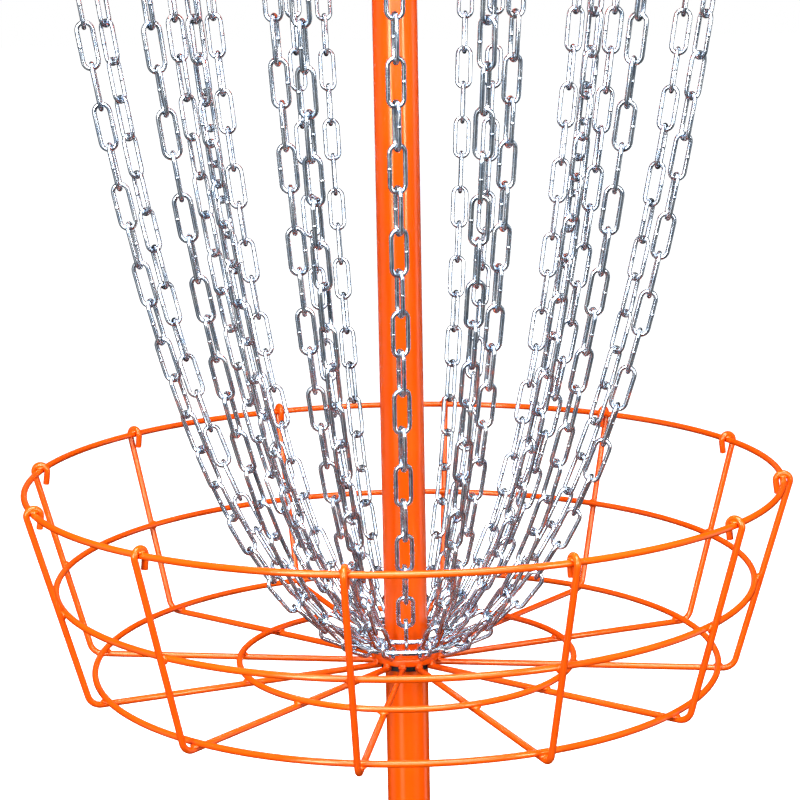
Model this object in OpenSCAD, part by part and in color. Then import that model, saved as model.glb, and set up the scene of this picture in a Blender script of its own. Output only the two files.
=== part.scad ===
// Disc golf basket: a post on a round bar base carries a welded wire tray and,
// above it, a chain support with a plain band. Twenty-four chains hang from the
// support and meet at two loose rings around the post.
// Millimetres. Origin on the post axis at ground level, +Z up.

/* [Post] */

// Outside diameter of both post tubes
pole_d = 38.1; // [37:0.1:39]
// Wall of both post tubes
pole_wall = 1.5; // [1.2:0.1:2]

/* [Tray] */

// Height of the rim wire's centre above the ground
rim_h = 820; // [780:5:860]
// Radius of the rim wire's centreline
rim_r = 327; // [322:1:332]
// Diameter of every tray and support wire
wire_d = 5.6; // [5.4:0.1:5.8]
// Drop from the rim wire's centre to the floor spokes' centre
tray_depth = 169; // [160:1:178]
// Lean of the tray ribs from the vertical, degrees
rib_lean = 15.5; // [14:0.5:16.5]
// Drop from the rim wire's centre to the middle ring's centre
mid_drop = 86.5; // [80:0.5:95]
// Radius of the small floor ring's centreline
inner_ring_r = 148; // [140:1:156]
// Turn of the first tray rib from the X axis, degrees
rib_turn = 22.3; // [20:0.1:25]

/* [Chains] */

// Wire diameter of a chain link
link_wire = 3.8; // [3.6:0.1:3.9]
// Distance from one link to the next
link_pitch = 33.4; // [33:0.1:33.8]
// Outside width of a chain link
link_w = 16.5; // [16.3:0.1:17]
// Play left where two links bear on each other
chain_play = 0.4; // [0.3:0.05:0.5]

/* [Chain support] */

// Inside radius of the band
band_r = 300; // [298:1:304]
// Height of the band
band_h = 90; // [84:1:110]
// Thickness of the band's sheet
band_wall = 1.2; // [1:0.1:1.5]

/* [Base] */

// Radius of the base ring's centreline
base_r = 290; // [280:5:310]
// Diameter of the base ring and base spokes
base_bar_d = 14; // [12:1:16]
// Rubber under the base ring
foot_h = 6; // [5:0.5:8]
// Height of the socket that holds the lower post tube
socket_h = 140; // [120:5:160]

/* [Hidden] */

// Curve quality
$fn = 96;

// Finishes
orange = [0.95, 0.33, 0.05];
zinc = [0.72, 0.74, 0.77];
black = [0.06, 0.06, 0.065];

// Ribs around the tray and around the support, and chains in each row
spread = 12;
step = 360 / spread;
// How far one welded wire sinks into the next
weld = 0.3;
wire_r = wire_d / 2;
pole_r = pole_d / 2;
bore_r = pole_r - pole_wall;
// Radial play between the post and the sleeves around it
slip = 0.25;

// Tray: heights
spoke_z = rim_h - tray_depth;
ring_lift = wire_d - weld;
floor_z = spoke_z + ring_lift;
collar_z = spoke_z + wire_r - weld;
collar_h = 6.5;
collar_r = 28.5;
flange_h = 5.5;
flange_r = 23.8;
spoke_in = 24.6;
// Tray: the hook of each rib over the rim wire
hook_r = 6;
hook_c = [rim_r, rim_h - 0.7];
tail_lean = 8;
tail_len = 11;
// Tray: each rib's leg runs down from the hook and turns in to the hub
leg_top = hook_c + hook_r * [cos(rib_lean), -sin(rib_lean)];
corner_r = leg_top.x - (leg_top.y - spoke_z) * tan(rib_lean);
bend_r = 12;
bend_reach = bend_r * tan((90 - rib_lean) / 2);
leg_end = [corner_r, spoke_z] + bend_reach * [sin(rib_lean), cos(rib_lean)];
bend_c = [corner_r - bend_reach, spoke_z + bend_r];
// Balls that join a rib's straights to its bends
ball_gap = 0.3;
ball_swell = 0.05;
// Tray: rings inside the ribs
leg_at_mid = leg_top.x - (leg_top.y - rim_h + mid_drop) * tan(rib_lean);
mid_r = leg_at_mid - ring_lift / cos(rib_lean);
floor_ring_r = bend_c.x - 3.4;

// Chain curve: z = low + sag * cosh((r - axis) / sag), one for each row. The lowest
// link of the outer row lies flatter than its curve, at outer_first_rise degrees.
outer_sag = 104.1;
outer_low = rim_h - 269.6;
outer_axis = -3.5;
outer_start = 47.3;
outer_links = 22;
outer_first_rise = 25;
inner_sag = 69.3;
inner_low = rim_h - 231.8;
inner_axis = -15.6;
inner_start = 36;
inner_links = 21;
// Azimuth of the first chain of each row
outer_turn = 15;
inner_turn = 0;
// Link: centreline radius of its round ends and half length of its straights
link_r = link_wire / 2;
link_bend = (link_w - link_wire) / 2;
link_half = link_pitch / 2 + chain_play / 2 + link_r - link_bend;
// Rings that gather the chains, and the hook wire that carries them
outer_wire_r = 2.8;
inner_wire_r = 2.3;
hook_wire_r = 2.25;
hook_bend = 7;
// Extra turn of each chain about its own run, at mid height, degrees
outer_sway = [-10, 30, -20, 25, -30, 0, 15, -10, 30, 44, 10, -37];
inner_sway = [10, -30, 35, 0, -20, 30, 45, 15, 30, 20, -15, -30];
// Turn gathered by each outer chain between ring and hook, a quarter either way
outer_wind = [90, 90, -90, 90, -90, 90, 90, 90, 90, -90, -90, 90];

function arc_at(sag, dr) = sag * (exp(dr / sag) - exp(-dr / sag)) / 2;
function r_at(sag, s) = sag * ln(s / sag + sqrt(1 + pow(s / sag, 2)));
// Point of the chain curve [radius, height] after k links
function curve_pt(sag, low, axis, start, k) =
  let (s = arc_at(sag, start - axis) + k * link_pitch)
  [axis + r_at(sag, s), low + sqrt(sag * sag + s * s)];
function outer_curve(k) = curve_pt(outer_sag, outer_low, outer_axis, outer_start, k);
function outer_pt(k) = k > 0 ? outer_curve(k)
  : outer_curve(1) - link_pitch * [cos(outer_first_rise), sin(outer_first_rise)];
function inner_pt(k) = curve_pt(inner_sag, inner_low, inner_axis, inner_start, k);
function unit(v) = v / norm(v);
// Centre of the wire that the first or last link bears on
function ring_pt(p, q, r) = p + unit(q - p) * (r + chain_play / 2);

outer_ring_c = ring_pt(outer_pt(0), outer_pt(1), outer_wire_r);
inner_ring_c = ring_pt(inner_pt(0), inner_pt(1), inner_wire_r);
outer_hook_c = ring_pt(outer_pt(outer_links), outer_pt(outer_links - 1), hook_wire_r);
inner_hook_c = ring_pt(inner_pt(inner_links), inner_pt(inner_links - 1), hook_wire_r);

// Chain support: heights
carrier_z = outer_hook_c.y + 22;
support_z = carrier_z + ring_lift;
support_turn = 7.5;
upright_r = band_r - wire_r;
upright_h = 60;
top_ring_drop = 8;
sleeve_r = 23;
sleeve_down = 30;
sleeve_up = 26;
sleeve_top = 4;
seat_gap = 0.05;
pole_top = support_z + sleeve_up - seat_gap;
band_low = support_z - 25;
rivet_z = support_z + 36;
rivet_r = 1.6;
rivet_head_r = 4;
rivet_head_h = 1.8;
rivet_grip = 2.5;

// Base: heights
base_z = foot_h + base_bar_d / 2;
base_spoke_z = base_z + base_bar_d - weld;
socket_low = foot_h;
socket_floor = 6;
socket_wall = 3.7;
socket_r = pole_r + slip + socket_wall;
base_spoke_count = 4;
foot_r = 17;
foot_top = base_z + 2;

// Straight wire from p to q, both [radius, height]
module rod(p, q, r) {
  run = q - p;
  translate([p.x, 0, p.y])
    rotate([0, 90 - atan2(run.y, run.x), 0])
      cylinder(h = norm(run), r = r);
}

// Bent wire about c in the radial plane, from angle a through sweep
module bend(c, bend_radius, a, sweep, r) {
  translate([c.x, 0, c.y])
    rotate([90, 0, 0])
      rotate([0, 0, a])
        rotate_extrude(angle = sweep)
          translate([bend_radius, 0])
            circle(r = r);
}

module wire_ring(radius, z, r) {
  translate([0, 0, z])
    rotate_extrude()
      translate([radius, 0])
        circle(r = r);
}

module tube(z, h, r_in, r_out) {
  translate([0, 0, z])
    difference() {
      cylinder(h = h, r = r_out);
      translate([0, 0, -1])
        cylinder(h = h + 2, r = r_in);
    }
}

// One chain link, long along X, lying in the XY plane
module link() {
  for (side = [0, 180])
    rotate([0, 0, side]) {
      translate([-link_half, link_bend, 0])
        rotate([0, 90, 0])
          cylinder(h = 2 * link_half, r = link_r);
      translate([link_half, 0, 0])
        rotate([0, 0, -90])
          rotate_extrude(angle = 180)
            translate([link_bend, 0])
              circle(r = link_r);
    }
}

// Link between the curve points p and q, turned about its own run
module link_between(p, q, turn) {
  mid = (p + q) / 2;
  run = q - p;
  translate([mid.x, 0, mid.y])
    rotate([0, -atan2(run.y, run.x), 0])
      rotate([turn, 0, 0])
        link();
}

module base_ring() {
  color(orange) wire_ring(base_r, base_z, base_bar_d / 2);
}

module base_spokes() {
  inner = socket_r - 1.2;
  color(orange)
    for (i = [0 : base_spoke_count - 1])
      rotate([0, 0, 45 + i * 360 / base_spoke_count])
        rod([inner, base_spoke_z], [base_r + base_bar_d / 2, base_spoke_z], base_bar_d / 2);
}

module base_socket() {
  color(orange)
    translate([0, 0, socket_low])
      difference() {
        cylinder(h = socket_h, r = socket_r);
        translate([0, 0, socket_floor])
          cylinder(h = socket_h, r = pole_r + slip);
      }
}

module base_feet() {
  color(black)
    difference() {
      for (i = [0 : base_spoke_count - 1])
        rotate([0, 0, i * 360 / base_spoke_count])
          translate([base_r, 0, 0])
            cylinder(h = foot_top, r = foot_r);
      wire_ring(base_r, base_z, base_bar_d / 2);
    }
}

module lower_pole() {
  low = socket_low + socket_floor;
  color(orange) tube(low, collar_z - flange_h - low, bore_r, pole_r);
}

module pole_coupler() {
  spigot = 110;
  plug_r = bore_r - 0.05;
  plug_bore = bore_r - 4;
  color(black)
    translate([0, 0, collar_z - flange_h])
      difference() {
        union() {
          translate([0, 0, -spigot])
            cylinder(h = 2 * spigot + flange_h, r = plug_r);
          cylinder(h = flange_h, r = flange_r);
        }
        translate([0, 0, -spigot - 1])
          cylinder(h = 2 * spigot + flange_h + 2, r = plug_bore);
      }
}

module tray_hub() {
  edge = 1.2;
  inside = pole_r + slip;
  color(orange)
    translate([0, 0, collar_z])
      rotate_extrude()
        polygon([
          [inside, 0], [collar_r, 0], [collar_r, collar_h - edge],
          [collar_r - edge, collar_h], [inside, collar_h]
        ]);
}

// One bent wire; each straight stops just short of its bend inside a small ball
module tray_rib() {
  tail_angle = 180 + tail_lean;
  tail_top = hook_c + hook_r * [cos(tail_angle), sin(tail_angle)];
  tail_end = tail_top + tail_len * [-sin(tail_angle), cos(tail_angle)];
  tail_run = unit(tail_end - tail_top);
  leg_run = unit(leg_end - leg_top);
  spoke_end = [bend_c.x, spoke_z];
  rod(tail_end, tail_top + ball_gap * tail_run, wire_r);
  bend(hook_c, hook_r, -rib_lean, tail_angle + rib_lean, wire_r);
  rod(leg_end - ball_gap * leg_run, leg_top + ball_gap * leg_run, wire_r);
  bend(bend_c, bend_r, -90, 90 - rib_lean, wire_r);
  rod([spoke_in, spoke_z], spoke_end - [ball_gap, 0], wire_r);
  for (p = [tail_top, leg_top, leg_end, spoke_end])
    translate([p.x, 0, p.y])
      sphere(r = wire_r + ball_swell);
}

module tray_ribs() {
  color(orange)
    for (i = [0 : spread - 1])
      rotate([0, 0, rib_turn + i * step])
        tray_rib();
}

module tray_rim_ring() {
  color(orange) wire_ring(rim_r, rim_h, wire_r);
}

module tray_middle_ring() {
  color(orange) wire_ring(mid_r, rim_h - mid_drop, wire_r);
}

module tray_floor_ring() {
  color(orange) wire_ring(floor_ring_r, floor_z, wire_r);
}

module tray_inner_ring() {
  color(orange) wire_ring(inner_ring_r, floor_z, wire_r);
}

module upper_pole() {
  color(orange) tube(collar_z, pole_top - collar_z, bore_r, pole_r);
}

module support_hub() {
  color(orange)
    translate([0, 0, support_z - sleeve_down])
      difference() {
        cylinder(h = sleeve_down + sleeve_up + sleeve_top, r = sleeve_r);
        translate([0, 0, -1])
          cylinder(h = sleeve_down + sleeve_up + 1, r = pole_r + slip);
      }
}

// Domed plastic cap over the top of the sleeve
module hub_cap() {
  skirt = 12;
  wall = 2;
  dome = 5;
  rim = sleeve_r + 0.1 + wall;
  top = support_z + sleeve_up + sleeve_top;
  color(black)
    translate([0, 0, top])
      rotate_extrude()
        polygon([
          [0, 0], [sleeve_r + 0.1, 0], [sleeve_r + 0.1, -skirt], [rim, -skirt],
          [rim, 1.5], [rim - 1.5, 3.2], [rim * 0.55, dome], [0, dome + 0.8]
        ]);
}

module support_ribs() {
  turn_c = [upright_r - bend_r, support_z + bend_r];
  color(orange)
    for (i = [0 : spread - 1])
      rotate([0, 0, support_turn + i * step]) {
        rod([sleeve_r - weld, support_z], [turn_c.x, support_z], wire_r);
        bend(turn_c, bend_r, -90, 90, wire_r);
        rod([upright_r, turn_c.y], [upright_r, support_z + upright_h], wire_r);
      }
}

module support_outer_ring() {
  color(orange) wire_ring(outer_hook_c.x, carrier_z, wire_r);
}

module support_inner_ring() {
  color(orange) wire_ring(inner_hook_c.x, carrier_z, wire_r);
}

module support_top_ring() {
  z = support_z + upright_h - top_ring_drop;
  color(orange) wire_ring(upright_r - ring_lift, z, wire_r);
}

module support_band() {
  color(orange)
    difference() {
      tube(band_low, band_h, band_r, band_r + band_wall);
      for (i = [0 : spread - 1])
        rotate([0, 0, support_turn + i * step])
          translate([band_r - 2, 0, rivet_z])
            rotate([0, 90, 0])
              cylinder(h = band_wall + 4, r = rivet_r + 0.1);
    }
}

module band_rivets() {
  color(zinc)
    for (i = [0 : spread - 1])
      rotate([0, 0, support_turn + i * step])
        translate([band_r - rivet_grip, 0, rivet_z])
          rotate([0, 90, 0])
            rotate_extrude()
              polygon([
                [0, 0], [rivet_r, 0], [rivet_r, rivet_grip + band_wall + 0.1],
                [rivet_head_r, rivet_grip + band_wall + 0.1],
                [rivet_head_r * 0.8, rivet_grip + band_wall + rivet_head_h * 0.7],
                [rivet_head_r * 0.4, rivet_grip + band_wall + rivet_head_h],
                [0, rivet_grip + band_wall + rivet_head_h + 0.1]
              ]);
}

// U-shaped hook standing across the radius, its round end at c
module chain_hook(c) {
  rise = carrier_z - wire_r + 1 - c.y - hook_bend;
  translate([c.x, 0, c.y + hook_bend]) {
    rotate([0, 0, 90])
      rotate([90, 0, 0])
        rotate([0, 0, 180])
          rotate_extrude(angle = 180)
            translate([hook_bend, 0])
              circle(r = hook_wire_r);
    for (side = [-1, 1])
      translate([0, side * hook_bend, 0])
        cylinder(h = rise, r = hook_wire_r);
  }
}

module outer_hooks() {
  color(orange)
    for (i = [0 : spread - 1])
      rotate([0, 0, outer_turn + i * step])
        chain_hook(outer_hook_c);
}

module inner_hooks() {
  color(orange)
    for (i = [0 : spread - 1])
      rotate([0, 0, inner_turn + i * step])
        chain_hook(inner_hook_c);
}

module outer_chain_ring() {
  color(zinc) wire_ring(outer_ring_c.x, outer_ring_c.y, outer_wire_r);
}

module inner_chain_ring() {
  color(zinc) wire_ring(inner_ring_c.x, inner_ring_c.y, inner_wire_r);
}

// Chain i of the outer row, its links turned a quarter each plus the wind and sway
module outer_chain(i) {
  last = outer_links - 1;
  color(zinc)
    rotate([0, 0, outer_turn + (i - 1) * step])
      for (k = [0 : last])
        link_between(outer_pt(k), outer_pt(k + 1),
          90 + 90 * k + outer_wind[i - 1] * k / last
            + outer_sway[i - 1] * sin(180 * k / last));
}

// Chain i of the inner row
module inner_chain(i) {
  last = inner_links - 1;
  color(zinc)
    rotate([0, 0, inner_turn + (i - 1) * step])
      for (k = [0 : last])
        link_between(inner_pt(k), inner_pt(k + 1),
          90 + 90 * k + inner_sway[i - 1] * sin(180 * k / last));
}

base_ring();
base_spokes();
base_socket();
base_feet();
lower_pole();
pole_coupler();
tray_hub();
tray_ribs();
tray_rim_ring();
tray_middle_ring();
tray_floor_ring();
tray_inner_ring();
upper_pole();
support_hub();
hub_cap();
support_ribs();
support_outer_ring();
support_inner_ring();
support_top_ring();
support_band();
band_rivets();
outer_hooks();
inner_hooks();
outer_chain_ring();
inner_chain_ring();
outer_chain(1);  // outer_chain_01
outer_chain(2);  // outer_chain_02
outer_chain(3);  // outer_chain_03
outer_chain(4);  // outer_chain_04
outer_chain(5);  // outer_chain_05
outer_chain(6);  // outer_chain_06
outer_chain(7);  // outer_chain_07
outer_chain(8);  // outer_chain_08
outer_chain(9);  // outer_chain_09
outer_chain(10);  // outer_chain_10
outer_chain(11);  // outer_chain_11
outer_chain(12);  // outer_chain_12
inner_chain(1);  // inner_chain_01
inner_chain(2);  // inner_chain_02
inner_chain(3);  // inner_chain_03
inner_chain(4);  // inner_chain_04
inner_chain(5);  // inner_chain_05
inner_chain(6);  // inner_chain_06
inner_chain(7);  // inner_chain_07
inner_chain(8);  // inner_chain_08
inner_chain(9);  // inner_chain_09
inner_chain(10);  // inner_chain_10
inner_chain(11);  // inner_chain_11
inner_chain(12);  // inner_chain_12
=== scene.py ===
"""Looks of the disc golf basket: fine wire, chain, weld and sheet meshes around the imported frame.

Shapes are worked out in millimetres in the frame's own axes, and piece() scales them to metres.
Materials, floor, lights and camera are in metres. Places come from the frame's boxes, and the
chain curve and the rib's bends repeat the design's formulas.
"""

import math

import bpy
import numpy as np
from mathutils import Matrix, Vector


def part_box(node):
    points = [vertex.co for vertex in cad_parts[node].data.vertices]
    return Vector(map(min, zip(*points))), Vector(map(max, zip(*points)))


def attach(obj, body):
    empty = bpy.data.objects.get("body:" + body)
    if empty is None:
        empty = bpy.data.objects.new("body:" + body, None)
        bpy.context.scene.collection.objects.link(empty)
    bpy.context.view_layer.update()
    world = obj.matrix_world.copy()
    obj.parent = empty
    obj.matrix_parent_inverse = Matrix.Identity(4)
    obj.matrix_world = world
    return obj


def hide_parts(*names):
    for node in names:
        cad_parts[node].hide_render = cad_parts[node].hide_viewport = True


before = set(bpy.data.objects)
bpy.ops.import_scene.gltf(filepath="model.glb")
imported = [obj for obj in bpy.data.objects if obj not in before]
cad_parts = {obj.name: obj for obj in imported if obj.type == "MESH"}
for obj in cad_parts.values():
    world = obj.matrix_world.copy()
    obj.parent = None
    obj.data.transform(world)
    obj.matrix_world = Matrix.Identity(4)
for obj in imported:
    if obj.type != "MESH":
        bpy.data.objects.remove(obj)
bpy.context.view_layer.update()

MM = 0.001

# ---------------------------------------------------------------- driving sizes
# Ribs round the tray and the support, and chains in each row
COUNT = 12
STEP = 360 / COUNT
# How far one welded wire sinks into the next
WELD = 0.3
# Radial play between the post and the sleeves around it
SLIP = 0.25
POLE_WALL = 1.5
BAND_WALL = 1.2

# Tray rib: a hook over the rim, a leaning leg, and a spoke that runs in to the hub
RIM_H = 820
TRAY_DEPTH = 169
SPOKE_Z = RIM_H - TRAY_DEPTH
RIB_LEAN = math.radians(15.5)
RIB_TURN = 22.3
HOOK_R = 6
HOOK_DROP = 0.7
TAIL_LEAN = math.radians(8)
TAIL_LEN = 11
BEND_R = 12
SPOKE_IN = 24.6

# Chain rows: catenary sag, lowest height, axis, start radius, links, azimuth of the first chain,
# and the angle at which the lowest link lies if it doesn't follow the curve
ROWS = {
    "outer": dict(sag=104.1, low=RIM_H - 269.6, axis=-3.5, start=47.3, links=22, turn=15, rise=25),
    "inner": dict(sag=69.3, low=RIM_H - 231.8, axis=-15.6, start=36, links=21, turn=0, rise=None),
}
# Extra turn of each chain about its own run at mid height, degrees
SWAY = {
    "outer": [-10, 30, -20, 25, -30, 0, 15, -10, 30, 44, 10, -37],
    "inner": [10, -30, 35, 0, -20, 30, 45, 15, 30, 20, -15, -30],
}
# Turn gathered by each chain between its ring and its hook, degrees
WIND = {
    "outer": [90, 90, -90, 90, -90, 90, 90, 90, 90, -90, -90, 90],
    "inner": [0] * COUNT,
}
LINK_PITCH = 33.4
LINK_W = 16.5
LINK_R = 1.9
CHAIN_PLAY = 0.4
LINK_BEND = LINK_W / 2 - LINK_R
LINK_HALF = LINK_PITCH / 2 + CHAIN_PLAY / 2 + LINK_R - LINK_BEND
# Butt weld of a link: place along its leg, and thickness as a share of the wire's
LINK_FLASH = [
    (-1.5, 1.0), (-0.7, 1.02), (-0.35, 1.13), (0, 1.08), (0.35, 1.13), (0.7, 1.02), (1.5, 1.0)]
# Butt weld of a gathering ring: azimuth, and thickness at the weld and on each side of it
RING_WELD_AT = 75
RING_WELD = (1.07, 0.99, 0.99)

# Chain support, and the U hooks whose ends reach into its rings
SUPPORT_TURN = 7.5
SUPPORT_BEND_R = 12
HOOK_WIRE_R = 2.25
HOOK_BEND = 7
HOOK_SINK = 1

# Base
BASE_TURN = 45
BASE_SPOKES = 4
BASE_SPOKE_SINK = 1.2

# Weld beads: half extents along the radius, round the post and upwards, the lumps round each,
# and how far its centre lies from the place it is put at
BEADS = {
    "crossing": ((2.1, 4.7, 4.3), 4, (0, 0, 0)),
    "collar_foot": ((2.4, 3.3, 1.7), 4, (0.2, 0, 1.2)),
    "spoke_root": ((2.3, 3.4, 2.0), 4, (0.7, 0, 0)),
    "sleeve_side": ((1.9, 3.0, 1.6), 4, (0.8, 0, 0)),
    "hook_end": ((2.9, 2.9, 1.5), 4, (0, 0, -0.4)),
    "socket_side": ((2.2, 2.6, 2.2), 3, (0.6, 0, 4.4)),
    "socket_top": ((2.3, 3.6, 1.8), 5, (0.6, 0, 0)),
    "base_ring": ((4.6, 2.4, 1.9), 5, (0, 0, 0.4)),
}
# Height of a bead's lumps, as a share of its half extents
BEAD_RIPPLE = 0.08

# Rounding of the edges of turned parts, tubes and sheet
COLLAR_EDGE = 1.4
SOCKET_EDGE = 0.8
TUBE_EDGE = 0.5
BAND_EDGE = 0.45
# Edges that turn by more than this many degrees are shaded sharp: turned shapes and bar ends
SHARP = 40
SHARP_BAR = 50
# Faces round the base's thick bars
BAR_SIDES = 28


# ---------------------------------------------------------------- mesh helpers
# A radius smaller than this lies on the axis
ON_AXIS = 1e-6
# The most of an edge that the rounding of one of its corners may take
EDGE_SHARE = 0.45


def unit(v):
    v = np.asarray(v, float)
    return v / np.linalg.norm(v)


def turned(verts, degrees):
    """Points turned about the Z axis."""
    a = math.radians(degrees)
    rot = np.array([[math.cos(a), -math.sin(a), 0], [math.sin(a), math.cos(a), 0], [0, 0, 1]])
    return verts @ rot.T


def joined(parts):
    """One (verts, faces) from several."""
    verts, faces, base = [], [], 0
    for v, f in parts:
        verts.append(np.asarray(v, float))
        faces += [tuple(i + base for i in face) for face in f]
        base += len(v)
    return np.concatenate(verts), faces


def grid_faces(rows, cols, closed_rows):
    """Quads of a grid whose columns wrap round, and whose rows do if closed_rows."""
    faces = []
    for i in range(rows if closed_rows else rows - 1):
        a, b = i * cols, (i + 1) % rows * cols
        for j in range(cols):
            k = (j + 1) % cols
            faces.append((a + j, a + k, b + k, b + j))
    return faces


def sweep(path, radii, binormal, sides, closed=False):
    """Tube along a path that lies in a plane with the given normal. Open ends are capped."""
    path = np.asarray(path, float)
    binormal = unit(binormal)
    if closed:
        run = np.roll(path, -1, 0) - np.roll(path, 1, 0)
    else:
        run = np.gradient(path, axis=0)
    across = np.cross(binormal, run / np.linalg.norm(run, axis=1)[:, None])
    a = np.linspace(0, 2 * math.pi, sides, endpoint=False)
    rings = (
        path[:, None, :]
        + across[:, None, :] * (np.cos(a)[None, :, None] * np.asarray(radii)[:, None, None])
        + binormal * (np.sin(a)[None, :, None] * np.asarray(radii)[:, None, None])
    )
    verts = rings.reshape(-1, 3)
    faces = grid_faces(len(path), sides, closed)
    if not closed:
        last = (len(path) - 1) * sides
        faces.append(tuple(range(sides))[::-1])
        faces.append(tuple(last + i for i in range(sides)))
    return verts, [face[::-1] for face in faces]


def rounded_ends(path, radius, edge=0.8):
    """A path and its radii with both cut ends slightly rounded off."""
    path = np.asarray(path, float)
    first = unit(path[1] - path[0])
    last = unit(path[-2] - path[-1])
    # Distance from the cut, and share of the radius there
    cuts = [(0, 0.55), (0.12 * edge, 0.8), (0.45 * edge, 0.95)]
    head = [path[0] + first * d for d, _ in cuts]
    tail = [path[-1] + last * d for d, _ in reversed(cuts)]
    near = [path[0] + first * edge, path[-1] + last * edge]
    points = head + [near[0]] + list(path[1:-1]) + [near[1]] + tail
    scales = [s for _, s in cuts]
    radii = scales + [1] * len(path) + scales[::-1]
    return np.array(points), np.array(radii) * radius


def arc(centre, radius, start, sweep_angle, steps):
    """Points of an arc in the (radius, height) plane, angles in radians."""
    a = start + sweep_angle * np.linspace(0, 1, steps + 1)
    return [(centre[0] + radius * math.cos(t), centre[1] + radius * math.sin(t)) for t in a]


def radial_wire(points, radius, sides=16):
    """Bent wire through (radius, height) points, in the XZ plane."""
    path = [(r, 0, z) for r, z in points]
    return sweep(*rounded_ends(path, radius), (0, 1, 0), sides)


def torus(ring_r, z, wire_r, steps=240, sides=18):
    """Wire ring round the post."""
    a = np.linspace(0, 2 * math.pi, steps, endpoint=False)
    path = np.stack([ring_r * np.cos(a), ring_r * np.sin(a), np.full(steps, z)], 1)
    return sweep(path, np.full(steps, wire_r), (0, 0, 1), sides, closed=True)


def revolve(profile, steps=128):
    """Closed solid of revolution about Z from a (radius, height) outline, which may meet the axis."""
    a = np.linspace(0, 2 * math.pi, steps, endpoint=False)
    verts, rows = [], []
    for r, z in profile:
        if r < ON_AXIS:
            rows.append([len(verts)])
            verts.append((0, 0, z))
        else:
            rows.append(list(range(len(verts), len(verts) + steps)))
            verts += [(r * math.cos(t), r * math.sin(t), z) for t in a]
    faces = []
    for lower, upper in zip(rows, rows[1:] + rows[:1]):
        if len(lower) == 1 and len(upper) == 1:
            continue
        for j in range(steps):
            k = (j + 1) % steps
            if len(lower) == 1:
                faces.append((lower[0], upper[k], upper[j]))
            elif len(upper) == 1:
                faces.append((lower[j], lower[k], upper[0]))
            else:
                faces.append((lower[j], lower[k], upper[k], upper[j]))
    return np.array(verts), faces


def softened(corners, edge, steps=3):
    """A closed (radius, height) outline with its corners rounded; a corner on the axis stays."""
    points = []
    count = len(corners)
    for i, corner in enumerate(corners):
        here = np.array(corner, float)
        if here[0] < ON_AXIS:
            points.append(tuple(here))
            continue
        before = np.array(corners[i - 1], float) - here
        after = np.array(corners[(i + 1) % count], float) - here
        reach = min(edge, EDGE_SHARE * np.linalg.norm(before), EDGE_SHARE * np.linalg.norm(after))
        p, q = here + unit(before) * reach, here + unit(after) * reach
        for t in np.linspace(0, 1, steps + 1):
            points.append(tuple((1 - t) ** 2 * p + 2 * t * (1 - t) * here + t * t * q))
    return points


def bead(kind, at=(0, 0, 0), sides=12, rows=7):
    """Small weld bead of one of the kinds in BEADS: a rippled flattened ball."""
    size, lumps, offset = BEADS[kind]
    centre = [place + shift for place, shift in zip(at, offset)]
    verts, faces = [], []
    for i in range(rows + 1):
        polar = math.pi * i / rows
        for j in range(sides if 0 < i < rows else 1):
            a = 2 * math.pi * j / sides
            ripple = 1 + BEAD_RIPPLE * math.cos(lumps * a) * math.sin(polar)
            verts.append((
                centre[0] + size[0] * math.sin(polar) * math.cos(a) * ripple,
                centre[1] + size[1] * math.sin(polar) * math.sin(a) * ripple,
                centre[2] + size[2] * math.cos(polar),
            ))
    for j in range(sides):
        k = (j + 1) % sides
        faces.append((0, 1 + j, 1 + k))
        for i in range(rows - 2):
            a, b = 1 + i * sides, 1 + (i + 1) * sides
            faces.append((a + j, b + j, b + k, a + k))
        lowest = 1 + (rows - 2) * sides
        faces.append((lowest + j, len(verts) - 1, lowest + k))
    return np.array(verts), faces


def around(shape, first, step=STEP, count=COUNT):
    """Copies of a shape round the post."""
    verts, faces = shape
    return [(turned(verts, first + i * step), faces) for i in range(count)]


def piece(name, shape, body, slot, nodes=(), flat_angle=None):
    """A Blender object from (verts, faces) in millimetres, riding on a body in place of CAD nodes."""
    verts, faces = shape
    mesh = bpy.data.meshes.new(name)
    mesh.from_pydata((np.asarray(verts) * MM).tolist(), [], faces)
    mesh.validate()
    mesh.update()
    mesh.shade_smooth()
    if flat_angle is not None:
        mesh.set_sharp_from_angle(angle=math.radians(flat_angle))
    mesh.materials.append(materials[slot])
    thing = bpy.data.objects.new(name, mesh)
    bpy.context.scene.collection.objects.link(thing)
    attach(thing, body)
    if nodes:
        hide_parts(*nodes)


def box_mm(node):
    """Lowest and highest corners of a CAD node, in millimetres."""
    lo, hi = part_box(node)
    return np.array(lo) / MM, np.array(hi) / MM


def ring_sizes(node):
    """Centreline radius, height and wire radius of a wire ring."""
    lo, hi = box_mm(node)
    wire_r = (hi[2] - lo[2]) / 2
    return (hi[0] - lo[0]) / 2 - wire_r, (hi[2] + lo[2]) / 2, wire_r


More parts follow.
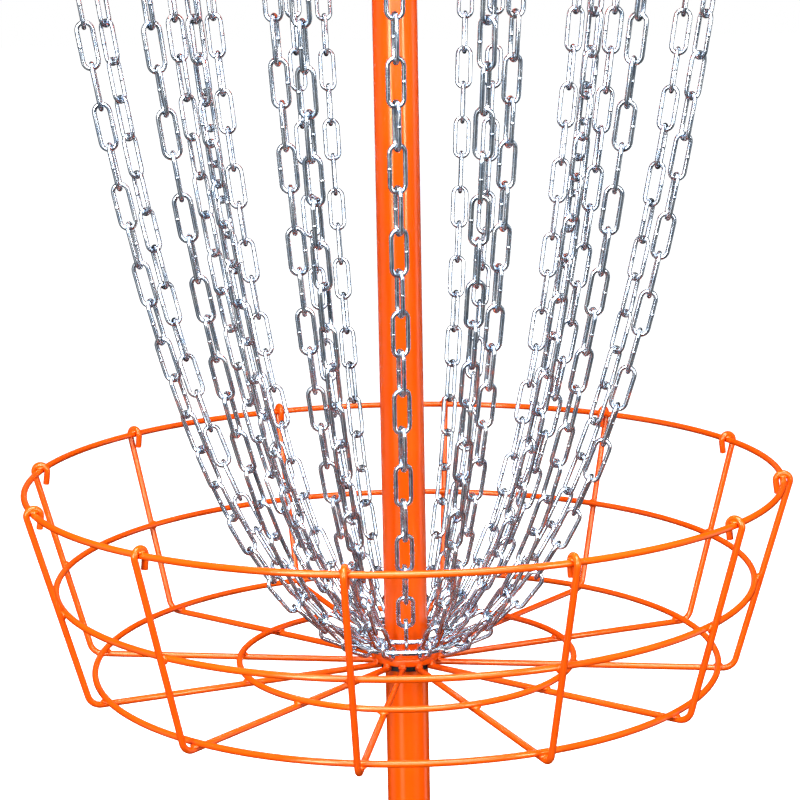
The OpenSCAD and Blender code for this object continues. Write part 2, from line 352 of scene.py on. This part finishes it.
# ---------------------------------------------------------------- materials
class Nodes:
    """Short calls for building one material's node tree."""

    def __init__(self, name):
        self.material = bpy.data.materials.new(name)
        self.material.use_nodes = True
        self.tree = self.material.node_tree
        self.shader = self.tree.nodes["Principled BSDF"]
        self.place = self.tree.nodes.new("ShaderNodeTexCoord").outputs["Object"]

    def new(self, kind, **values):
        node = self.tree.nodes.new("ShaderNode" + kind)
        for key, value in values.items():
            setattr(node, key, value)
        return node

    def link(self, out, into):
        self.tree.links.new(out, into)

    def noise(self, scale, detail=2.0, rough=0.5):
        """Noise with about scale lumps in a metre."""
        node = self.new("TexNoise")
        node.inputs["Scale"].default_value = scale
        node.inputs["Detail"].default_value = detail
        node.inputs["Roughness"].default_value = rough
        self.link(self.place, node.inputs["Vector"])
        return node.outputs["Fac"]

    def ramp(self, factor, stops):
        """Colour that goes through (place, colour) stops as the factor rises."""
        node = self.new("ValToRGB")
        elements = node.color_ramp.elements
        while len(elements) < len(stops):
            elements.new(0.5)
        for element, (at, colour) in zip(elements, stops):
            element.position = at
            element.color = (*colour, 1)
        self.link(factor, node.inputs["Fac"])
        return node.outputs["Color"]

    def spread(self, factor, low, high, start=0.3, end=0.7):
        """Value from low to high as the factor goes from start to end."""
        node = self.new("MapRange")
        for key, value in zip(("From Min", "From Max", "To Min", "To Max"), (start, end, low, high)):
            node.inputs[key].default_value = value
        self.link(factor, node.inputs["Value"])
        return node.outputs["Result"]

    def bump(self, height, distance, strength=1.0, under=None):
        node = self.new("Bump")
        node.inputs["Distance"].default_value = distance
        node.inputs["Strength"].default_value = strength
        self.link(height, node.inputs["Height"])
        if under is not None:
            self.link(under, node.inputs["Normal"])
        return node.outputs["Normal"]

    def set(self, **values):
        """Set inputs of the shader, their names written with _ for a space."""
        for key, value in values.items():
            self.shader.inputs[key.replace("_", " ")].default_value = value


def powder_coat():
    """Glossy orange powder coat: orange peel, slight shifts of tone and gloss, fine dust nibs."""
    n = Nodes("orange_powder_coat")
    tones = [(0.3, (0.89, 0.083, 0.001)), (0.5, (0.93, 0.093, 0.0015)), (0.72, (0.96, 0.104, 0.002))]
    n.link(n.ramp(n.noise(14, 3), tones), n.shader.inputs["Base Color"])
    n.link(n.spread(n.noise(55, 3), 0.1, 0.2), n.shader.inputs["Roughness"])
    peel = n.bump(n.noise(620, 2, 0.4), 0.00012, 0.35)
    nibs = n.bump(n.spread(n.noise(1500, 1), 0, 1, 0.68, 0.74), 0.00004, 0.4, peel)
    n.link(nibs, n.shader.inputs["Normal"])
    n.set(IOR=1.45, Specular_IOR_Level=0.8, Specular_Tint=(1.0, 0.7, 0.45, 1))
    return n.material


def zinc_chain():
    """Bright zinc plate: clear blue passivate with drifting tints, a soft ripple and small pits."""
    n = Nodes("bright_zinc_plate")
    tints = [(0.3, (0.37, 0.46, 0.58)), (0.5, (0.58, 0.64, 0.71)), (0.7, (0.78, 0.80, 0.81))]
    n.link(n.ramp(n.noise(120, 2), tints), n.shader.inputs["Base Color"])
    n.link(n.spread(n.noise(260, 3), 0.08, 0.19), n.shader.inputs["Roughness"])
    ripple = n.bump(n.noise(300, 2), 0.0002, 0.12)
    pits = n.bump(n.spread(n.noise(1800, 1), 0, 1, 0.62, 0.8), 0.00002, 0.3, ripple)
    n.link(pits, n.shader.inputs["Normal"])
    n.set(Metallic=0.94)
    return n.material


def rivet_metal():
    """Dull aluminium rivet heads."""
    n = Nodes("rivet_aluminium")
    tones = [(0.3, (0.62, 0.63, 0.65)), (0.7, (0.80, 0.81, 0.82))]
    n.link(n.ramp(n.noise(200, 3), tones), n.shader.inputs["Base Color"])
    n.link(n.spread(n.noise(500, 2), 0.28, 0.45), n.shader.inputs["Roughness"])
    n.link(n.bump(n.noise(900, 2), 0.0001, 0.4), n.shader.inputs["Normal"])
    n.set(Metallic=1.0)
    return n.material


def black_plastic():
    """Moulded black plastic with a fine spark-eroded grain."""
    n = Nodes("moulded_black_plastic")
    tones = [(0.3, (0.006, 0.006, 0.006)), (0.7, (0.012, 0.012, 0.013))]
    n.link(n.ramp(n.noise(60, 3), tones), n.shader.inputs["Base Color"])
    n.link(n.spread(n.noise(300, 2), 0.38, 0.55), n.shader.inputs["Roughness"])
    n.link(n.bump(n.noise(1600, 2), 0.00008, 0.5), n.shader.inputs["Normal"])
    n.set(Specular_IOR_Level=0.25)
    return n.material


def foot_rubber():
    """Dusty moulded rubber."""
    n = Nodes("moulded_rubber")
    dust = n.noise(35, 4)
    tones = [(0.35, (0.018, 0.018, 0.018)), (0.75, (0.05, 0.048, 0.045))]
    n.link(n.ramp(dust, tones), n.shader.inputs["Base Color"])
    n.link(n.spread(dust, 0.65, 0.9), n.shader.inputs["Roughness"])
    n.link(n.bump(n.noise(1100, 3), 0.00015, 0.6), n.shader.inputs["Normal"])
    return n.material


def studio_floor():
    """Pale matt floor with a painted glow: its emission is weak near the basket and grows further off,
    so the floor shows white as a lit backdrop does.
    """
    n = Nodes("pale_studio_floor")
    tones = [(0.3, (0.88, 0.88, 0.88)), (0.7, (0.9, 0.9, 0.9))]
    n.link(n.ramp(n.noise(1.5, 2), tones), n.shader.inputs["Base Color"])
    distance = n.new("VectorMath", operation="LENGTH")
    n.link(n.place, distance.inputs[0])
    # Painted glow: emission strength that rises with distance from the basket
    painted_glow = n.spread(distance.outputs["Value"], 0.05, 0.7, start=0.5, end=1.2)
    n.link(painted_glow, n.shader.inputs["Emission Strength"])
    n.set(Roughness=0.9, Specular_IOR_Level=0.0, Emission_Color=(1, 1, 1, 1))
    return n.material


materials = {
    "powder_coat": powder_coat(),
    "zinc_chain": zinc_chain(),
    "rivet": rivet_metal(),
    "black_plastic": black_plastic(),
    "foot_rubber": foot_rubber(),
}


# ---------------------------------------------------------------- chains
def link_template(sides=12, bend_steps=10):
    """One link along X in the XY plane, with the flash ring of its butt weld on one leg."""
    path = [(x, LINK_BEND, 0) for x, _ in LINK_FLASH]
    radii = [share for _, share in LINK_FLASH]
    for side in (1, -1):
        for i in range(bend_steps + 1):
            a = math.pi / 2 - math.pi * i / bend_steps
            x = LINK_HALF + LINK_BEND * math.cos(a)
            path.append((side * x, side * LINK_BEND * math.sin(a), 0))
            radii.append(1.0)
        if side == 1:
            path.append((0, -LINK_BEND, 0))
            radii.append(1.0)
    return sweep(path, np.array(radii) * LINK_R, (0, 0, 1), sides, closed=True)


def curve_point(row, k):
    """(radius, height) of the chain curve after k links."""
    if k == 0 and row["rise"]:
        a = math.radians(row["rise"])
        return curve_point(row, 1) - LINK_PITCH * np.array([math.cos(a), math.sin(a)])
    sag = row["sag"]
    s = sag * math.sinh((row["start"] - row["axis"]) / sag) + k * LINK_PITCH
    return np.array([row["axis"] + sag * math.asinh(s / sag), row["low"] + math.hypot(sag, s)])


def link_verts(verts, p, q, turn):
    """A link's points, turned about its own run and placed between two curve points."""
    t = math.radians(turn)
    a = math.atan2(q[1] - p[1], q[0] - p[0])
    roll = np.array([[1, 0, 0], [0, math.cos(t), -math.sin(t)], [0, math.sin(t), math.cos(t)]])
    rise = np.array([[math.cos(a), 0, -math.sin(a)], [0, 1, 0], [math.sin(a), 0, math.cos(a)]])
    middle = (p + q) / 2
    return verts @ (rise @ roll).T + np.array([middle[0], 0, middle[1]])


def chain(side, i, template):
    """Chain i of a row, its links in turn at a quarter to each other and the whole slightly wound."""
    row = ROWS[side]
    last = row["links"] - 1
    parts = []
    for k in range(row["links"]):
        turn = 90 + 90 * k + WIND[side][i] * k / last + SWAY[side][i] * math.sin(math.pi * k / last)
        placed = link_verts(template[0], curve_point(row, k), curve_point(row, k + 1), turn)
        parts.append((turned(placed, row["turn"] + i * STEP), template[1]))
    name = f"{side}_chain_{i + 1:02d}"
    piece(name + "_links", joined(parts), name, "zinc_chain", [name])


def make_chains():
    template = link_template()
    for side in ROWS:
        for i in range(COUNT):
            chain(side, i, template)


def gathering_ring(node, name):
    """A bent wire ring closed by a butt weld."""
    ring_r, z, wire_r = ring_sizes(node)
    steps = 120
    a = np.linspace(0, 2 * math.pi, steps, endpoint=False) + math.radians(RING_WELD_AT)
    path = np.stack([ring_r * np.cos(a), ring_r * np.sin(a), np.full(steps, z)], 1)
    radii = np.full(steps, wire_r)
    radii[[0, 1, -1]] *= RING_WELD
    ring = sweep(path, radii, (0, 0, 1), 18, closed=True)
    piece(name, ring, "chain_support", "zinc_chain", [node])


# ---------------------------------------------------------------- tray
# Lean of a tangent plane that lies level
LEVEL = math.pi / 2


def rib_points():
    """(radius, height) path of a tray rib, tail first."""
    rim_r = ring_sizes("tray_rim_ring")[0]
    hook = np.array([rim_r, RIM_H - HOOK_DROP])
    tail_angle = math.pi + TAIL_LEAN
    tail_top = hook + HOOK_R * np.array([math.cos(tail_angle), math.sin(tail_angle)])
    tail_end = tail_top + TAIL_LEN * np.array([-math.sin(tail_angle), math.cos(tail_angle)])
    leg_top = hook + HOOK_R * np.array([math.cos(RIB_LEAN), -math.sin(RIB_LEAN)])
    corner_r = leg_top[0] - (leg_top[1] - SPOKE_Z) * math.tan(RIB_LEAN)
    reach = BEND_R * math.tan((math.pi / 2 - RIB_LEAN) / 2)
    bend = (corner_r - reach, SPOKE_Z + BEND_R)
    points = [tuple(tail_end)]
    points += arc(hook, HOOK_R, tail_angle, -(tail_angle + RIB_LEAN), 20)
    points += arc(bend, BEND_R, -RIB_LEAN, RIB_LEAN - math.pi / 2, 12)
    points.append((SPOKE_IN, SPOKE_Z))
    return points


def tray_ring(node, name):
    piece(name, torus(*ring_sizes(node)), "tray", "powder_coat", [node])


def crossing_fillets(at_r, z, lean, first):
    """Flattened weld beads where a ring touches the twelve wires that cross it.

    lean is the angle of the shared tangent plane from the vertical.
    """
    verts, faces = bead("crossing")
    c, s = math.cos(lean), math.sin(lean)
    tilt = np.array([[c, 0, s], [0, 1, 0], [-s, 0, c]])
    return around((verts @ tilt.T + np.array([at_r, 0, z]), faces), first)


def make_tray():
    rim_r, _, wire_r = ring_sizes("tray_rim_ring")
    ribs = joined(around(radial_wire(rib_points(), wire_r), RIB_TURN))
    piece("tray_rib_wires", ribs, "tray", "powder_coat", ["tray_ribs"])
    tray_ring("tray_rim_ring", "tray_rim_wire")
    tray_ring("tray_middle_ring", "tray_middle_wire")
    tray_ring("tray_floor_ring", "tray_floor_wire")
    tray_ring("tray_inner_ring", "tray_inner_wire")
    fillets = crossing_fillets(rim_r, RIM_H + wire_r, LEVEL, RIB_TURN)
    mid_r, mid_z, _ = ring_sizes("tray_middle_ring")
    at_r, at_z = mid_r + wire_r * math.cos(RIB_LEAN), mid_z - wire_r * math.sin(RIB_LEAN)
    fillets += crossing_fillets(at_r, at_z, RIB_LEAN, RIB_TURN)
    for node in ("tray_floor_ring", "tray_inner_ring"):
        ring_r, z, _ = ring_sizes(node)
        fillets += crossing_fillets(ring_r, z - wire_r, LEVEL, RIB_TURN)
    piece("tray_weld_fillets", joined(fillets), "tray", "powder_coat")

    lo, hi = box_mm("tray_hub")
    bore = box_mm("upper_pole")[1][0] + SLIP
    collar = [(bore, lo[2]), (hi[0], lo[2]), (hi[0], hi[2]), (bore, hi[2])]
    collar_shape = revolve(softened(collar, COLLAR_EDGE))
    piece("tray_collar", collar_shape, "tray", "powder_coat", ["tray_hub"], SHARP)
    foot = bead("collar_foot", (hi[0], 0, lo[2]))
    # The root beads lie on the upper sides of the spokes
    root = bead("spoke_root", (hi[0], 0, SPOKE_Z + wire_r * 0.75))
    piece("tray_collar_beads", joined(around(joined([foot, root]), RIB_TURN)), "tray", "powder_coat")


# ---------------------------------------------------------------- posts and base
def tube_outline(node, wall):
    """Closed (radius, height) outline of a tube that fills a node's box."""
    lo, hi = box_mm(node)
    return [(hi[0] - wall, lo[2]), (hi[0], lo[2]), (hi[0], hi[2]), (hi[0] - wall, hi[2])]


def make_posts():
    for part in ("lower", "upper"):
        node = part + "_pole"
        tube = revolve(softened(tube_outline(node, POLE_WALL), TUBE_EDGE))
        piece(part + "_post_tube", tube, part + "_post", "powder_coat", [node], SHARP)


def quarters(shape):
    """A shape at each base spoke."""
    return joined(around(shape, BASE_TURN, 360 / BASE_SPOKES, BASE_SPOKES))


def make_base():
    ring_r, z, bar_r = ring_sizes("base_ring")
    ring = torus(ring_r, z, bar_r, sides=BAR_SIDES)
    piece("base_ring_bar", ring, "base", "powder_coat", ["base_ring"])
    socket_lo, socket_hi = box_mm("base_socket")
    spoke_lo, spoke_hi = box_mm("base_spokes")
    spoke_z = (spoke_lo[2] + spoke_hi[2]) / 2
    ends = [(socket_hi[0] - BASE_SPOKE_SINK, spoke_z), (ring_r + bar_r, spoke_z)]
    spokes = quarters(radial_wire(ends, bar_r, BAR_SIDES))
    piece("base_spoke_bars", spokes, "base", "powder_coat", ["base_spokes"], SHARP_BAR)
    bore = box_mm("lower_pole")[1][0] + SLIP
    floor_z = box_mm("lower_pole")[0][2]
    cup = [
        (0, socket_lo[2]), (socket_hi[0], socket_lo[2]), (socket_hi[0], socket_hi[2]),
        (bore, socket_hi[2]), (bore, floor_z), (0, floor_z)]
    cup_shape = revolve(softened(cup, SOCKET_EDGE))
    piece("base_socket_cup", cup_shape, "base", "powder_coat", ["base_socket"], SHARP)
    # The socket's beads run up both sides of a spoke, and the ring's lie under its edges
    flank, under = bar_r * 0.72, bar_r - 1.2
    beads = [bead("socket_side", (socket_hi[0], side * flank, spoke_z)) for side in (-1, 1)]
    beads.append(bead("socket_top", (socket_hi[0], 0, spoke_z + bar_r)))
    beads += [bead("base_ring", (ring_r, side * under, spoke_z - bar_r)) for side in (-1, 1)]
    piece("base_weld_beads", quarters(joined(beads)), "base", "powder_coat")


# ---------------------------------------------------------------- chain support
def make_support():
    _, carrier_z, wire_r = ring_sizes("support_outer_ring")
    support_z = carrier_z + 2 * wire_r - WELD
    sleeve_lo, sleeve_hi = box_mm("support_hub")
    upright_top = box_mm("support_ribs")[1][2]
    upright_r = box_mm("support_band")[1][0] - BAND_WALL - wire_r
    centre = (upright_r - SUPPORT_BEND_R, support_z + SUPPORT_BEND_R)
    points = [(sleeve_hi[0] - WELD, support_z)]
    points += arc(centre, SUPPORT_BEND_R, -math.pi / 2, math.pi / 2, 12)
    points.append((upright_r, upright_top))
    ribs = joined(around(radial_wire(points, wire_r), SUPPORT_TURN))
    piece("support_rib_wires", ribs, "chain_support", "powder_coat", ["support_ribs"])
    for node in ("support_outer_ring", "support_inner_ring", "support_top_ring"):
        name = node.replace("ring", "wire")
        piece(name, torus(*ring_sizes(node)), "chain_support", "powder_coat", [node])
    fillets = []
    for node in ("support_outer_ring", "support_inner_ring"):
        ring_r, z, _ = ring_sizes(node)
        fillets += crossing_fillets(ring_r, z + wire_r, LEVEL, SUPPORT_TURN)
    top_r, top_z, _ = ring_sizes("support_top_ring")
    fillets += crossing_fillets(top_r + wire_r, top_z, 0, SUPPORT_TURN)
    fillets += around(bead("sleeve_side", (sleeve_hi[0], 0, support_z + wire_r)), SUPPORT_TURN)
    piece("support_weld_fillets", joined(fillets), "chain_support", "powder_coat")

    pole_hi = box_mm("upper_pole")[1]
    bore, pole_top = pole_hi[0] + SLIP, pole_hi[2]
    sleeve = [
        (0, pole_top), (bore, pole_top), (bore, sleeve_lo[2]),
        (sleeve_hi[0], sleeve_lo[2]), (sleeve_hi[0], sleeve_hi[2]), (0, sleeve_hi[2])]
    sleeve_shape = revolve(softened(sleeve, SOCKET_EDGE))
    piece("support_sleeve", sleeve_shape, "chain_support", "powder_coat", ["support_hub"], SHARP)

    band = revolve(softened(tube_outline("support_band", BAND_WALL), BAND_EDGE), 288)
    piece("support_band_sheet", band, "chain_support", "powder_coat", ["support_band"], SHARP)


def hook_shape(c, carrier_z, wire_r):
    """U-shaped wire across the radius, its round end at c."""
    top = carrier_z - wire_r + HOOK_SINK
    path = [(c[0], -HOOK_BEND, top)]
    path += [(c[0], y, z) for y, z in arc((0, c[1] + HOOK_BEND), HOOK_BEND, math.pi, math.pi, 16)]
    path.append((c[0], HOOK_BEND, top))
    wire = sweep(*rounded_ends(path, HOOK_WIRE_R), (1, 0, 0), 14)
    beads = [bead("hook_end", (c[0], side * HOOK_BEND, top)) for side in (-1, 1)]
    return joined([wire] + beads)


def make_hooks():
    _, carrier_z, wire_r = ring_sizes("support_outer_ring")
    for side, row in ROWS.items():
        last = curve_point(row, row["links"])
        before = curve_point(row, row["links"] - 1)
        c = last + unit(before - last) * (HOOK_WIRE_R + CHAIN_PLAY / 2)
        hooks = joined(around(hook_shape(c, carrier_z, wire_r), row["turn"]))
        piece(f"{side}_hook_wires", hooks, "chain_support", "powder_coat", [f"{side}_hooks"])


# ---------------------------------------------------------------- carried-over CAD nodes
def dress_cad_nodes():
    slots = {
        "pole_coupler": "black_plastic",
        "hub_cap": "black_plastic",
        "base_feet": "foot_rubber",
        "band_rivets": "rivet",
    }
    for node, slot in slots.items():
        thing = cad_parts[node]
        thing.data.materials.clear()
        thing.data.materials.append(materials[slot])


# ---------------------------------------------------------------- studio
# Brightness of the reflected room once round it, from the back (0) by the left, the front (0.5) and
# the right: low down it is dark with narrow lamps, and higher up a wide window fills the front
ROOM_LOW = [
    (0.0, 0.08), (0.03, 0.08), (0.06, 0.02), (0.18, 0.02), (0.21, 0.5), (0.27, 0.6), (0.3, 0.02),
    (0.37, 0.02), (0.39, 2.3), (0.425, 2.3), (0.445, 0.05), (0.56, 0.05), (0.59, 0.35), (0.64, 0.45),
    (0.67, 0.02), (0.75, 0.02), (0.775, 1.6), (0.8, 1.6), (0.825, 0.02), (0.94, 0.02), (0.97, 0.08)]
ROOM_HIGH = [
    (0.0, 0.2), (0.04, 0.02), (0.19, 0.02), (0.23, 0.8), (0.3, 0.8), (0.34, 0.2), (0.4, 0.4),
    (0.43, 11), (0.57, 11), (0.6, 0.4), (0.66, 0.2), (0.7, 0.8), (0.77, 0.8), (0.81, 0.02),
    (0.96, 0.02)]
# The share of that brightness at each height, and the brightness of the dome for diffuse light,
# both from straight down (0) to straight up (1)
ROOM_HEIGHT = [
    (0.0, 0.25), (0.25, 0.4), (0.4, 0.85), (0.62, 1.0), (0.72, 0.45), (0.85, 0.4), (0.95, 0.5)]
DOME_HEIGHT = [(0.0, 0.06), (0.3, 0.16), (0.55, 0.7), (1.0, 1.1)]


def make_floor():
    """Wide level floor under the basket, which the coat and the chains don't reflect."""
    half = 60
    mesh = bpy.data.meshes.new("studio_floor")
    corners = [(-half, -half, 0), (half, -half, 0), (half, half, 0), (-half, half, 0)]
    mesh.from_pydata(corners, [], [(0, 1, 2, 3)])
    mesh.materials.append(studio_floor())
    floor = bpy.data.objects.new("studio_floor", mesh)
    bpy.context.scene.collection.objects.link(floor)
    floor.visible_glossy = False
    floor.visible_diffuse = False


def make_world():
    """White backdrop, a soft dome for diffuse light, and a room of lamps and flags for reflections."""
    world = bpy.data.worlds.new("studio")
    bpy.context.scene.world = world
    world.use_nodes = True
    tree = world.node_tree
    tree.nodes.clear()
    new = tree.nodes.new
    link = tree.links.new

    def maths(kind, *values):
        node = new("ShaderNodeMath")
        node.operation = kind
        for slot, value in zip(node.inputs, values):
            if isinstance(value, (int, float)):
                slot.default_value = value
            else:
                link(value, slot)
        return node.outputs[0]

    def shade(value, stops):
        node = new("ShaderNodeValToRGB")
        elements = node.color_ramp.elements
        while len(elements) < len(stops):
            elements.new(0.5)
        for element, (at, level) in zip(elements, stops):
            element.position = at
            element.color = (level * 0.94, level * 0.97, level, 1)
        link(value, node.inputs["Fac"])
        return node.outputs["Color"]

    def background(colour, strength):
        node = new("ShaderNodeBackground")
        link(colour, node.inputs["Color"])
        node.inputs["Strength"].default_value = strength
        return node.outputs[0]

    def choose(factor, no, yes):
        node = new("ShaderNodeMixShader")
        for slot, value in zip(node.inputs, (factor, no, yes)):
            link(value, slot)
        return node.outputs[0]

    def blend(kind, factor, first, second):
        node = new("ShaderNodeMix")
        node.data_type = "RGBA"
        node.blend_type = kind
        for slot, value in (("Factor_Float", factor), ("A_Color", first), ("B_Color", second)):
            entry = next(i for i in node.inputs if i.identifier == slot)
            if isinstance(value, float):
                entry.default_value = value
            else:
                link(value, entry)
        return next(o for o in node.outputs if o.identifier == "Result_Color")

    split = new("ShaderNodeSeparateXYZ")
    link(new("ShaderNodeTexCoord").outputs["Generated"], split.inputs[0])
    x, y, z = split.outputs
    angle = maths("ARCTAN2", x, maths("MULTIPLY", y, -1))
    turn = maths("ADD", maths("DIVIDE", angle, 2 * math.pi), 0.5)
    rise = maths("ADD", maths("MULTIPLY", z, 0.5), 0.5)

    # From 0 at 2.5 degrees above the horizon to 1 at 9 degrees
    above = maths("MULTIPLY_ADD", rise, 18, -9.4)
    sides = blend("MIX", above, shade(turn, ROOM_LOW), shade(turn, ROOM_HIGH))
    room = background(blend("MULTIPLY", 1.0, sides, shade(rise, ROOM_HEIGHT)), 1.0)
    dome = background(shade(rise, DOME_HEIGHT), 0.5)
    white = new("ShaderNodeBackground")
    white.inputs["Color"].default_value = (1, 1, 1, 1)
    path = new("ShaderNodeLightPath").outputs
    seen = choose(path["Is Camera Ray"], dome, white.outputs[0])
    link(choose(path["Is Glossy Ray"], seen, room), new("ShaderNodeOutputWorld").inputs[0])


def area_light(name, at, aim, size, power):
    """Rectangular lamp at one point and aimed at another, its size in metres and power in watts."""
    light = bpy.data.lights.new(name, "AREA")
    light.shape = "RECTANGLE"
    light.size, light.size_y = size
    light.energy = power
    thing = bpy.data.objects.new(name, light)
    bpy.context.scene.collection.objects.link(thing)
    thing.location = at
    thing.rotation_mode = "QUATERNION"
    thing.rotation_quaternion = (Vector(aim) - Vector(at)).to_track_quat("-Z", "Y")
    return thing


def make_lights():
    area_light("key_strip", (-1.9, -3.3, 1.9), (0, 0, 1.2), (0.7, 2.6), 125)
    area_light("fill_strip", (2.5, -2.9, 1.7), (0, 0, 1.1), (0.5, 2.4), 70)
    area_light("top_softbox", (0, -1.4, 3.5), (0, 0, 0.8), (2.6, 1.3), 175)
    back_fill = area_light("back_fill", (0.5, 3.4, 2.4), (0, 0, 0.85), (2.0, 2.0), 60)
    back_fill.visible_glossy = False


def make_camera():
    """Camera in front of the basket and a little above the rim, looking down into the tray."""
    # Sensor width in mm, then image width and focal length in pixels
    sensor, image, focal = 36, 800, 2123.94
    # Place in front of the post's axis, above the rim and to the right, in metres
    front, above, aside = 1.81166, 0.40999, -0.00066
    # Turn downwards, to the right and about the line of sight, in radians
    pitch, yaw, roll = 0.1873, -0.0005, -0.0186
    level = Vector((math.sin(yaw), math.cos(yaw), 0))
    ahead = level * math.cos(pitch) - Vector((0, 0, math.sin(pitch)))
    right = Vector((math.cos(yaw), -math.sin(yaw), 0))
    up = right.cross(ahead)
    tilt_right = right * math.cos(roll) + up * math.sin(roll)
    tilt_up = up * math.cos(roll) - right * math.sin(roll)
    data = bpy.data.cameras.new("camera")
    data.sensor_width = sensor
    data.lens = focal * sensor / image
    data.clip_start, data.clip_end = 0.05, 200
    camera = bpy.data.objects.new("camera", data)
    bpy.context.scene.collection.objects.link(camera)
    place = Matrix.Translation((aside, -front, RIM_H * MM + above))
    camera.matrix_world = place @ Matrix((tilt_right, tilt_up, -ahead)).transposed().to_4x4()
    bpy.context.scene.camera = camera


make_camera()
make_world()
make_lights()
make_floor()
make_base()
make_posts()
make_tray()
make_support()
make_hooks()
make_chains()
gathering_ring("outer_chain_ring", "outer_gathering_ring")
gathering_ring("inner_chain_ring", "inner_gathering_ring")
dress_cad_nodes()
bpy.context.scene.view_settings.view_transform = "Standard"
